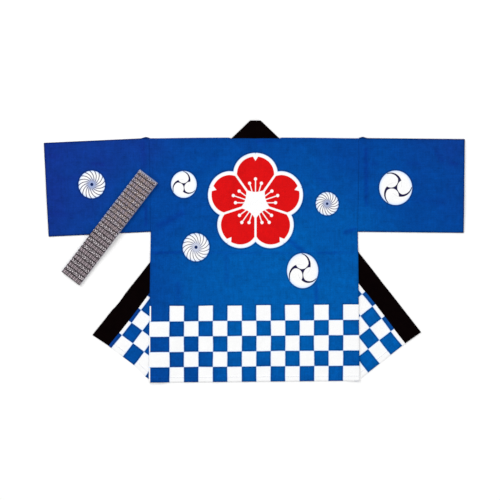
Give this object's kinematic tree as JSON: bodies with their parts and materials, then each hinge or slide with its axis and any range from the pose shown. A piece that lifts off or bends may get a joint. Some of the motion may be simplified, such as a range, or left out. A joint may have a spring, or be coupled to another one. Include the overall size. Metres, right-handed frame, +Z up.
{
  "type": "happi coat laid flat with its belt",
  "caption": "Adult festival coat of blue printed cotton with a black collar, laid flat with its back up and its fronts folded out, a folded belt lying on one sleeve.",
  "frame": {"origin": "middle of the coat's bounding box, on the surface that it lies on", "axes": "+X from the wearer's left cuff to the right cuff, +Y from hem to collar, +Z up through the back of the coat"},
  "size_m": [1.346, 0.8404, 0.0124],
  "materials": {
    "body_cloth": "plain-weave cotton, printed in blue, white and red",
    "collar_cloth": "black cotton, matt",
    "belt_cloth": "cotton with close black and white cross bands"
  },
  "bodies": {
    "root": {"back": "body_cloth", "front_left": "body_cloth", "front_right": "body_cloth", "sleeve_left": "body_cloth", "sleeve_right": "body_cloth", "collar": "collar_cloth", "belt": "belt_cloth"}
  },
  "joints": []
}
